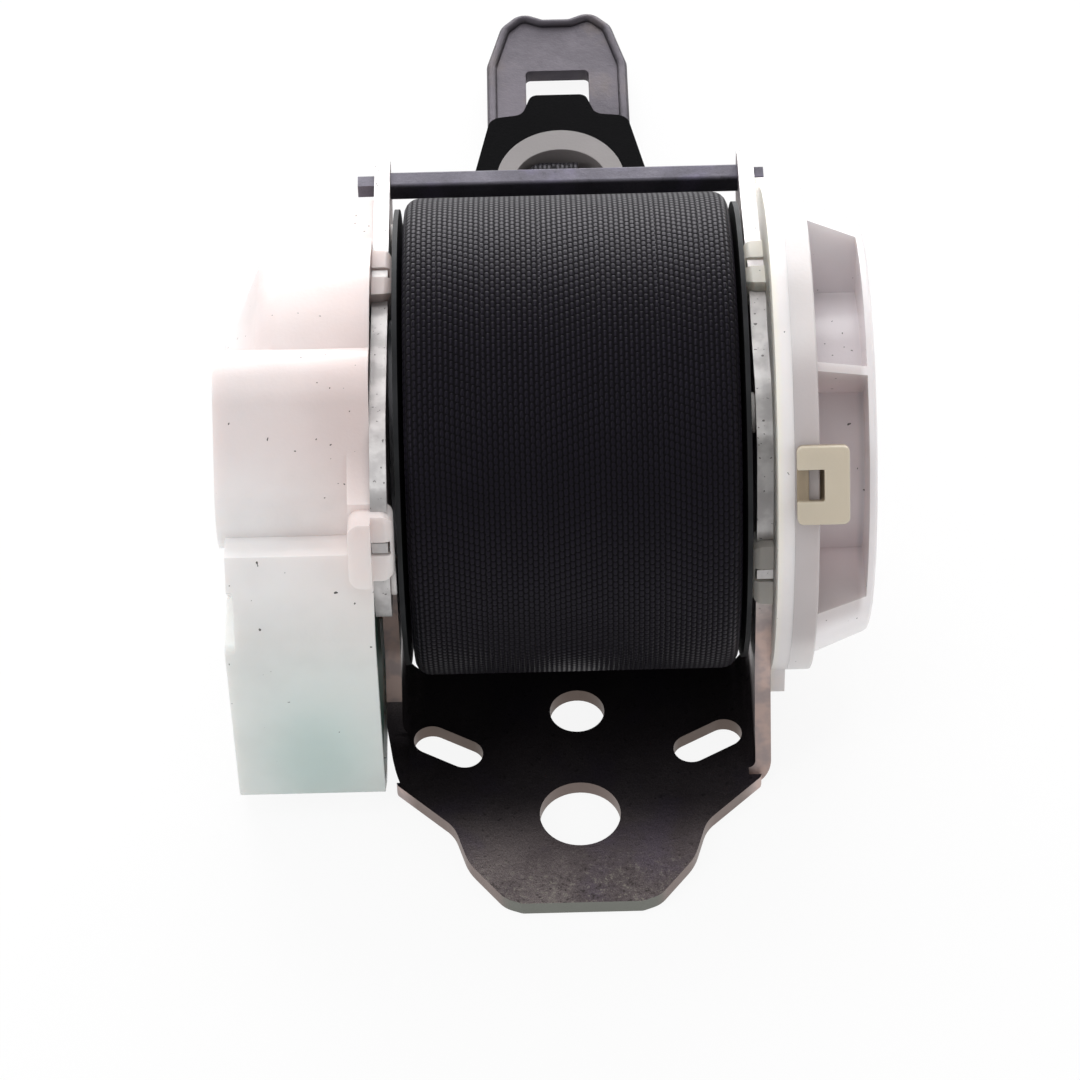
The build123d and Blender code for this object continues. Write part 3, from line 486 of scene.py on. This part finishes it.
def weaveFinish(f, across, along, dull=0.0):
    # oval floats in columns; each panel of the webbing shifts its columns by its own share of a row
    column = across / weave["column"]
    number = column.math("FLOOR")
    side = across.math("ABSOLUTE")
    shift = weave["shifts"][0]
    for edge, before, after in zip(weave["panels"], weave["shifts"], weave["shifts"][1:]):
        shift = shift + side.step(edge - weave["seam"], edge) * (after - before)
    row = (along / weave["row"] + number * shift).math("FRACT")
    inColumn = column - number
    wide = (inColumn - 0.5) * weave["slim"]
    tall = ((row - 0.5) * weave["short"]).math("ABSOLUTE")
    oval = (1 - wide * wide - tall ** 4).clamp()
    height = oval ** 0.5
    place = f.place()
    drift = f.noise(place, weave["drift"], 3)
    threads = f.noise(place, weave["threads"], 2)
    lift = height * (0.7 + drift * 0.6)
    bump = f.bump(height * 0.85 + threads * 0.15, weave["depth"])
    # painted shade between the floats: the colour follows their height
    return f.shade(Base_Color=f.ramp(lift, weave["floatsAndShadedGaps"]), Normal=bump,
                   Roughness=0.34 + (1 - height) * 0.45 + dull * 0.35,
                   Specular_IOR_Level=0.14, Specular_Tint=(0.90, 0.82, 1.0), Sheen_Weight=0.03,
                   Sheen_Roughness=0.35, Sheen_Tint=(0.92, 0.84, 1.0))


def rollFinish():
    # whole rows go round the roll, which is duller low down at the front
    f = Finish("webbingOnRoll")
    x, y, z = f.axes(f.place())
    angle = (z - spool["z"]).math("ARCTAN2", y - spool["y"])
    rows = round(2 * math.pi * spool["rollR"] / weave["row"])
    along = angle * (rows * weave["row"] / (2 * math.pi))
    return weaveFinish(f, x, along, dull=1 - (z + y).step(*weave["dullAt"]))


def strapFinish():
    f = Finish("webbingStrap")
    across, along, _ = f.axes(f.node("UVMap", {"uv_map": "strap"}))
    return weaveFinish(f, across, along)


# plate: the painted reflection of the roll darkening the back plate
zincFrame = wornZinc("zincFrame", (0.60, 0.55, 0.53), (0.38, 0.34, 0.34), (0.42, 0.37, 0.48),
                     plate=(0.55, 0.51, 0.53))
cutSteel = cutFinish()
zincBar = wornZinc("zincBar", (0.125, 0.118, 0.142), (0.085, 0.08, 0.098), (0.14, 0.125, 0.19), 0.3)
milky = milkyFinish()
nylon = nylonFinish()
cupPlastic = cupFinish()
ivory = latchFinish()
pinWhite = moulded("pinWhite", (0.82, 0.78, 0.76), 0.40, milk=0.2)
gripBlack = moulded("gripBlack", (0.002, 0.002, 0.0025), 0.66, grain=2600, grainDepth=0.00005,
                    shine=0.02)
linerGrey = moulded("linerGrey", (0.18, 0.165, 0.165), 0.36, shine=0.3)
green = moulded("sensorGreen", (0.03, 0.075, 0.055), 0.45)
gearWhite = moulded("gearWhite", (0.78, 0.76, 0.70), 0.45)
bushPlastic = moulded("bushPlastic", (0.76, 0.72, 0.60), 0.42)
tongueSteel = wornZinc("tongueSteel", (0.077, 0.069, 0.081), (0.060, 0.054, 0.064),
                       (0.095, 0.080, 0.076), 0.0)
castSpool = castMetal("castSpool", (0.035, 0.036, 0.038), 0.55)
castHead = castMetal("castHead", (0.42, 0.42, 0.44), 0.5)
darkSteel = castMetal("darkSteel", (0.32, 0.31, 0.31), 0.4)
brightSteel = castMetal("brightSteel", (0.62, 0.62, 0.63), 0.2, 1.0)
springSteel = castMetal("springSteel", (0.20, 0.21, 0.26), 0.35, 1.0)

shownAsBuilt = {
    "spool": castSpool, "torsion_bar": darkSteel, "webbing_pin": darkSteel,
    "pawl_carrier": castHead, "lock_pawl": darkSteel, "lock_gear": gearWhite,
    "inertia_lever": castHead, "catch_ring": gearWhite, "sensor_ball": brightSteel,
    "sensor_lever": gearWhite, "spool_bush": bushPlastic, "spring_arbor": bushPlastic,
    "return_spring": springSteel,
}
for node, material in shownAsBuilt.items():
    paint(frame["nodes"][node], material)
print("finishes made")

rigid = {  # name, finish, width and steps of the broken edges, body
    "frame": ("steelFrame", zincFrame, 0.00035, 2, "frame"),
    "tie_bar": ("tieBar", zincBar, 0.0003, 2, "frame"),
    "lock_cover": ("lockCover", milky, 0.0004, 2, "frame"),
    "sensor_case": ("sensorCase", green, 0.0003, 2, "frame"),
    "spring_base": ("springBase", nylon, 0.0004, 2, "frame"),
    "spring_cover": ("springCup", cupPlastic, 0.0004, 2, "frame"),
    "cover_latch": ("cupLatch", ivory, 0.0003, 2, "frame"),
    "lock_cover_pins": ("lockCoverPins", pinWhite, 0.0002, 2, "frame"),
    "spring_base_pins": ("springBasePins", pinWhite, 0.0002, 2, "frame"),
    "tongue_plate": ("tonguePlate", tongueSteel, 0.0004, 2, "tongue"),
    "eye_liner": ("eyeLiner", linerGrey, 0.0014, 4, "tongue"),
    "tongue_grip": ("tongueGrip", gripBlack, 0.0012, 3, "tongue"),
}
pieces = {}
for node, (name, material, edge, segments, body) in rigid.items():
    pieces[node] = dressed(node, name, material, edge, segments)
    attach(pieces[node], body)


def markCutEdges(piece):
    # the sheared edges of the arms, the tab and its holes take their own finish
    edge = {"armX": 0.0256, "armZ": 0.0042, "tabZ": 0.0024, "foldZ": 0.0060, "along": 0.4,
            "facing": 0.6}
    piece.data.materials.append(cutSteel)
    for face in piece.data.polygons:
        place, normal = face.center, face.normal
        onArm = abs(place.x) > edge["armX"] and place.z > edge["armZ"]
        ofArm = onArm and abs(normal.x) < edge["along"]
        ofTab = place.z < edge["tabZ"] and abs(normal.z) < edge["along"]
        ofFold = place.z < edge["foldZ"] and normal.y < -edge["facing"]
        face.material_index = 1 if ofArm or ofTab or ofFold else 0


def easeCorners(piece):
    # the plate's corners are drawn in where they meet the folds
    corner = {"x": 0.0260, "y": 0.0068, "z": 0.0024, "drawn": 0.6}
    for v in piece.data.vertices:
        over = abs(v.co.x) - corner["x"]
        if over > 0 and v.co.y < corner["y"] and v.co.z < corner["z"]:
            v.co.x -= math.copysign(corner["drawn"] * over, v.co.x)


def narrowCase(piece):
    # the wall beside the arm stands just outside it
    wall = {"x": -0.0284, "y": 0.022, "out": 0.0018}
    for v in piece.data.vertices:
        if v.co.x > wall["x"] and v.co.y < wall["y"]:
            v.co.x -= wall["out"]


def raiseRim(plate):
    # the tongue's edge is rolled up: a tube along the outline of its top, drawn in and half sunk
    rim = {"r": 0.00085, "rings": 3, "sharp": 60, "scale": (0.935, 0.965, 1),
           "about": (0, 0.1585, 0.0055), "fromY": 0.141, "level": 1e-4, "facing": 0.99}
    window = {"half": 0.0062, "fromY": 0.1520, "toY": 0.1642}
    eye = {"y": 0.131, "halfX": 0.0118, "halfY": 0.0142}
    top = max(v.co.z for v in plate.data.vertices) - rim["level"]
    pick(plate)
    bpy.ops.object.duplicate()
    tube = bpy.context.object
    editMode("DESELECT")
    objectMode()
    uses = {}
    for face in tube.data.polygons:
        if face.normal.z > rim["facing"] and face.center.z > top:
            for key in face.edge_keys:
                uses[key] = uses.get(key, 0) + 1
    edges = {edge.key: edge for edge in tube.data.edges}
    for key, times in uses.items():
        middle = (tube.data.vertices[key[0]].co + tube.data.vertices[key[1]].co) / 2
        inWindow = abs(middle.x) < window["half"] and window["fromY"] < middle.y < window["toY"]
        inEye = (middle.x / eye["halfX"]) ** 2 + ((middle.y - eye["y"]) / eye["halfY"]) ** 2 < 1
        if times == 1 and middle.y > rim["fromY"] and not inWindow and not inEye:
            edges[key].select = True
    bpy.ops.object.mode_set(mode="EDIT")
    bpy.ops.mesh.select_mode(type="EDGE")
    bpy.ops.mesh.select_all(action="INVERT")
    bpy.ops.mesh.delete(type="EDGE_FACE")
    bpy.ops.mesh.select_all(action="SELECT")
    bpy.ops.mesh.delete_loose(use_verts=True, use_edges=False, use_faces=False)
    bpy.ops.mesh.select_all(action="SELECT")
    bpy.ops.transform.resize(value=rim["scale"], center_override=rim["about"])
    objectMode()
    bpy.ops.object.convert(target="CURVE")
    tube = bpy.context.object
    tube.data.bevel_depth = rim["r"]
    tube.data.bevel_resolution = rim["rings"]
    tube.data.use_fill_caps = True
    bpy.ops.object.convert(target="MESH")
    tube = bpy.context.object
    paint(tube, tongueSteel)
    settle(tube, rim["sharp"])
    pick(plate)
    tube.select_set(True)
    bpy.ops.object.join()


easeCorners(pieces["frame"])
markCutEdges(pieces["frame"])
narrowCase(pieces["sensor_case"])
raiseRim(pieces["tongue_plate"])
print("rigid pieces dressed")


def woundRoll():
    sizes = {"layer": 0.0012, "crown": 0.0022, "crownSteps": 5, "cuts": 15, "steps": 180,
             "ripple": 0.00016, "within": 1e-5, "sharp": 60}
    middleR = (spool["rollR"] + spool["hubR"]) / 2
    depth = spool["rollR"] - spool["hubR"]
    deselectAll()
    bpy.ops.mesh.primitive_plane_add(size=1, location=(0, spool["y"], spool["z"] + middleR),
                                     rotation=(math.pi / 2, 0, 0))
    roll = bpy.context.object
    roll.name = "webbingRoll"
    roll.scale = (2 * spool["half"], depth, 1)
    bpy.ops.object.transform_apply(location=True, rotation=True, scale=True)
    editMode()
    bpy.ops.mesh.bevel(offset=sizes["crown"], segments=sizes["crownSteps"], affect="VERTICES")
    bpy.ops.mesh.delete(type="ONLY_FACE")
    bpy.ops.mesh.select_all(action="SELECT")
    bpy.ops.mesh.subdivide(number_cuts=sizes["cuts"])
    objectMode()
    for v in roll.data.vertices:  # the edges of the layers show on the two sides
        r = v.co.z - spool["z"]
        if abs(v.co.x) > spool["half"] - sizes["within"]:
            wave = 1 + math.sin(r / sizes["layer"] * 2 * math.pi)
            v.co.x -= math.copysign(sizes["ripple"] * wave, v.co.x)
    editMode()
    bpy.ops.mesh.spin(steps=sizes["steps"], angle=2 * math.pi, center=(0, spool["y"], spool["z"]),
                      axis=(1, 0, 0), use_auto_merge=True)
    bpy.ops.mesh.remove_doubles(threshold=mergeWithin)
    bpy.ops.mesh.select_all(action="SELECT")
    bpy.ops.mesh.normals_make_consistent(inside=False)
    objectMode()
    settle(roll, sizes["sharp"])
    paint(roll, rollFinish())
    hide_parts("webbing_roll")
    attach(roll, "spool")


woundRoll()
print("roll wound")

strapShape = {
    "r": 0.0351, "sunk": 0.0006, "from": 43.0, "to": 34.0,  # rises out of the roll; degrees
    "z": 0.0044, "bend": 0.016, "end": 0.1187,
    "half": 0.0192, "thick": 0.0012, "narrowY": 0.066, "narrowEndY": 0.112,
    "endHalf": 0.0058, "endX": -0.0018, "gather": 0.0031, "dip": 0.0006, "sharp": 50,
    "across": 48, "riseSteps": 20, "runSteps": 40, "bendSteps": 16,
}


def strapPath():
    # centre line of the free webbing, as (y, z) points from the roll to the sewn end
    s = strapShape
    firstR = spool["rollR"] - s["sunk"]  # it starts inside the outer turn
    points = []
    for k in range(s["riseSteps"] + 1):
        t = k / s["riseSteps"]
        a = math.radians(s["from"] + (s["to"] - s["from"]) * t)
        r = firstR + (s["r"] - firstR) * smooth(t)
        points.append(Vector((spool["y"] + r * math.cos(a), spool["z"] + r * math.sin(a))))
    a = math.radians(s["to"])
    turn = math.radians(90 - s["to"])
    down = Vector((math.sin(a), -math.cos(a)))
    last = points[-1]
    foot = last + down * ((last.y - s["z"]) / math.cos(a))
    cut = s["bend"] * math.tan(turn / 2)
    start, end = foot - down * cut, foot + Vector((cut, 0))
    centre = Vector((end.x, end.y + s["bend"]))
    points += [last.lerp(start, k / s["runSteps"]) for k in range(1, s["runSteps"] + 1)]
    for k in range(1, s["bendSteps"] + 1):
        t = -math.pi / 2 - turn * (1 - k / s["bendSteps"])
        points.append(centre + s["bend"] * Vector((math.cos(t), math.sin(t))))
    points.append(Vector((s["end"], s["z"])))
    return points


def makeStrap():
    # a grid laid along the path, narrowed and gathered into folds towards the sewn end
    s = strapShape
    path = strapPath()
    rows = len(path) - 1
    lengths = [0.0]
    for a, b in zip(path, path[1:]):
        lengths.append(lengths[-1] + (b - a).length)
    deselectAll()
    bpy.ops.mesh.primitive_grid_add(x_subdivisions=s["across"], y_subdivisions=rows, size=1)
    strap = bpy.context.object
    strap.name = "webbingLead"
    uv = strap.data.uv_layers.active
    uv.name = "strap"
    places = {}
    for v in strap.data.vertices:
        side = v.co.x  # -0.5 to 0.5 across the webbing
        k = round((v.co.y + 0.5) * rows)
        places[v.index] = (side * 2 * s["half"], lengths[k])
        here = path[k]
        ahead = path[min(k + 1, rows)] - path[max(k - 1, 0)]
        normal = Vector((-ahead.y, ahead.x)).normalized()
        narrow = (here.x - s["narrowY"]) / (s["narrowEndY"] - s["narrowY"])
        narrow = smooth(min(1, max(0, narrow)))
        half = s["half"] + (s["endHalf"] - s["half"]) * narrow
        lift = narrow * (s["gather"] * math.cos(side * 4 * math.pi) - s["dip"])
        lifted = here + normal * lift
        v.co = (s["endX"] * narrow + side * 2 * half, lifted.x, lifted.y)
    for loop in strap.data.loops:
        uv.data[loop.index].uv = places[loop.vertex_index]
    wall = strap.modifiers.new("thickness", "SOLIDIFY")
    wall.thickness = s["thick"]
    wall.offset = 0
    applyAll(strap)
    editMode()
    bpy.ops.mesh.normals_make_consistent(inside=False)
    objectMode()
    settle(strap, s["sharp"])
    paint(strap, strapFinish())
    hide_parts("webbing_lead")
    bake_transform(strap)


makeStrap()


def makeSewnEnd():
    # a CAD copy keeps the loop inside the eye; its own UV carries the weave round the section
    turn = {"y": 0.134, "z": 0.0083}  # beyond this Y the weave runs down from this Z
    loop = dressed("webbing_loop", "sewnLoop", strapFinish(), edge=0.0002)
    pick(loop)
    editMode()
    bpy.ops.mesh.quads_convert_to_tris()
    objectMode()
    for layer in list(loop.data.uv_layers):
        loop.data.uv_layers.remove(layer)
    uv = loop.data.uv_layers.new(name="strap")
    for corner in loop.data.loops:
        co = loop.data.vertices[corner.vertex_index].co
        along = co.y if co.y < turn["y"] else turn["y"] + (turn["z"] - co.z)
        uv.data[corner.index].uv = (co.x, along)
    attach(loop, "webbing_end")


makeSewnEnd()
print("webbing made")


def makeStage():
    # white floor that glows to the camera and in reflections, and is plain grey-white otherwise
    ground = {"size": 6, "place": (0, 0.1, -0.0001), "colour": (0.8, 0.8, 0.8), "glow": 0.9}
    deselectAll()
    bpy.ops.mesh.primitive_plane_add(size=ground["size"], location=ground["place"])
    floor = bpy.context.object
    floor.name = "floor"
    f = Finish("floorWhite")
    toCamera = f.node("LightPath", output="Is Camera Ray")
    toGloss = f.node("LightPath", output="Is Glossy Ray")
    seen = toCamera.math("MAXIMUM", toGloss)
    plain = f.node("BsdfDiffuse", None, {"Color": ground["colour"]})
    white = f.node("Emission", None, {"Color": (1, 1, 1), "Strength": 1.0})
    mixed = f.node("MixShader", None, {0: seen * ground["glow"], 1: plain, 2: white})
    f.join(mixed, f.end.inputs["Surface"])
    paint(floor, f.owner)


def makeWorld():
    # white to the camera, dimmer as a light
    sky = {"asLight": 0.50, "seen": 1.0}
    f = Finish("studio", "World")
    toCamera = f.node("LightPath", output="Is Camera Ray")
    strength = f.node("MapRange", None, {"Value": toCamera, "To Min": sky["asLight"],
                                         "To Max": sky["seen"]})
    back = f.node("Background", None, {"Color": (1, 1, 1), "Strength": strength})
    f.join(back, f.end.inputs["Surface"])
    bpy.context.scene.world = f.owner


lamps = {  # place, what it aims at, size, power in watts
    "topBox": ((-0.1, 0.05, 0.85), (0, 0.04, 0.03), (0.5, 0.5), 1.5),
    "highBackBox": ((0.0, 0.72, 0.85), (0, 0.04, 0.04), (0.9, 0.4), 3.8),
    "backBox": ((0.0, 0.85, 0.25), (0, 0.04, 0.04), (1.2, 0.4), 9.0),
    "leftBox": ((-0.75, -0.25, 0.50), (0, 0.04, 0.03), (0.5, 0.5), 2.0),
    "rightBox": ((0.75, -0.35, 0.45), (0, 0.04, 0.03), (0.5, 0.5), 1.0),
}


def softBox(name, place, aim, size, power):
    deselectAll()
    bpy.ops.object.light_add(type="AREA", location=place)
    lamp = bpy.context.object
    lamp.name = name
    lamp.data.shape = "RECTANGLE"
    lamp.data.size, lamp.data.size_y = size
    lamp.data.energy = power
    lamp.rotation_euler = (Vector(aim) - Vector(place)).to_track_quat("-Z", "Y").to_euler()


def makeCamera():
    view = {"place": (-0.0049, -0.381, 0.465), "pitch": 46.7, "roll": -1.4,
            "focal": 4100, "image": 1080, "sensor": 36, "near": 0.01}
    camera = bpy.data.objects.new("photoCamera", bpy.data.cameras.new("photoCamera"))
    bpy.context.scene.collection.objects.link(camera)
    camera.data.sensor_width = view["sensor"]
    camera.data.lens = view["focal"] * view["sensor"] / view["image"]
    camera.data.clip_start = view["near"]
    turn = Euler((math.radians(90 - view["pitch"]), 0, 0)).to_matrix().to_4x4()
    turn = turn @ Matrix.Rotation(math.radians(view["roll"]), 4, "Z")
    camera.matrix_world = Matrix.Translation(view["place"]) @ turn
    bpy.context.scene.camera = camera


makeStage()
makeWorld()
for name, lamp in lamps.items():
    softBox(name, *lamp)
makeCamera()
bpy.context.scene.view_settings.view_transform = "Standard"
print("stage set")
